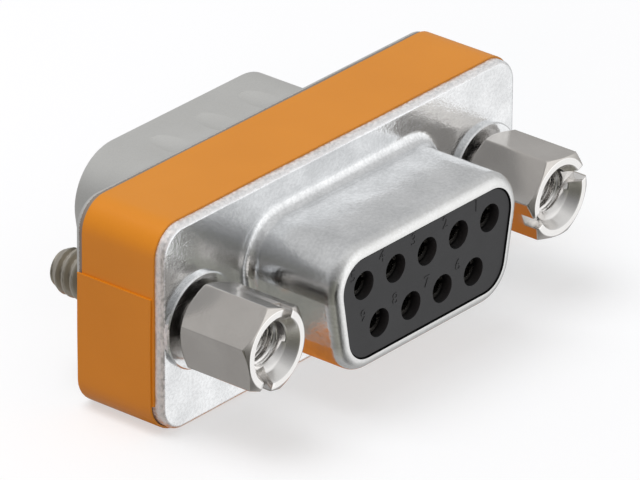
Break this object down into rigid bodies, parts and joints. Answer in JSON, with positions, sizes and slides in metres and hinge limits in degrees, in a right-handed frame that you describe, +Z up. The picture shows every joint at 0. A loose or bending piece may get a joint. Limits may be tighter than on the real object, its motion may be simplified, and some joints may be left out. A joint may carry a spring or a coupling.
{
  "type": "null modem adapter",
  "caption": "Slim D-shaped serial adapter that joins a cable's plug to an equipment plug with the send and receive lines crossed, with captive jackscrews.",
  "frame": {"origin": "on the mating axis, in the front plane of the socket side's flange", "axes": "+X along the width, +Y from the socket side towards the plug side, +Z up, with the long contact row on top"},
  "size_m": [0.0311, 0.0185, 0.0128],
  "materials": {
    "bright_plate": "bright tin plate over drawn steel, faintly grainy",
    "satin_plate": "satin nickel plate over drawn steel",
    "screw_nickel": "turned steel with warm nickel plate",
    "contact_plate": "copper alloy with a thin silvery plate, as the grey glints in the holes show",
    "dark_insulator": "moulded thermoplastic, fine matt",
    "board": "glass-fibre board with green resist",
    "label_film": "satin orange adhesive film"
  },
  "bodies": {
    "housing": {"front_shell": "bright_plate", "rear_shell": "satin_plate", "socket_insulator": "dark_insulator", "plug_insulator": "dark_insulator", "crossover_board": "board", "wrap_label": "label_film", "socket_contact_1": "contact_plate", "pin_contact_1": "contact_plate", "socket_contact_2": "contact_plate", "pin_contact_2": "contact_plate", "socket_contact_3": "contact_plate", "pin_contact_3": "contact_plate", "socket_contact_4": "contact_plate", "pin_contact_4": "contact_plate", "socket_contact_5": "contact_plate", "pin_contact_5": "contact_plate", "socket_contact_6": "contact_plate", "pin_contact_6": "contact_plate", "socket_contact_7": "contact_plate", "pin_contact_7": "contact_plate", "socket_contact_8": "contact_plate", "pin_contact_8": "contact_plate", "socket_contact_9": "contact_plate", "pin_contact_9": "contact_plate", "left_washer": "bright_plate", "right_washer": "bright_plate"},
    "left_clip": {"left_retaining_ring": "satin_plate"},
    "left_screw": {"left_jackscrew": "screw_nickel"},
    "right_clip": {"right_retaining_ring": "satin_plate"},
    "right_screw": {"right_jackscrew": "screw_nickel"}
  },
  "joints": [
    {"name": "left_screw_float", "type": "slide", "parent": "housing", "child": "left_clip", "axis": [0, 1, 0], "range_m": [-0.0002, 0.0004]},
    {"name": "left_screw_turn", "type": "hinge", "parent": "left_clip", "child": "left_screw", "pos_m": [-0.0125, 0, 0], "axis": [0, 1, 0], "continuous": true},
    {"name": "right_screw_float", "type": "slide", "parent": "housing", "child": "right_clip", "axis": [0, 1, 0], "range_m": [-0.0002, 0.0004]},
    {"name": "right_screw_turn", "type": "hinge", "parent": "right_clip", "child": "right_screw", "pos_m": [0.0125, 0, 0], "axis": [0, 1, 0], "continuous": true}
  ]
}
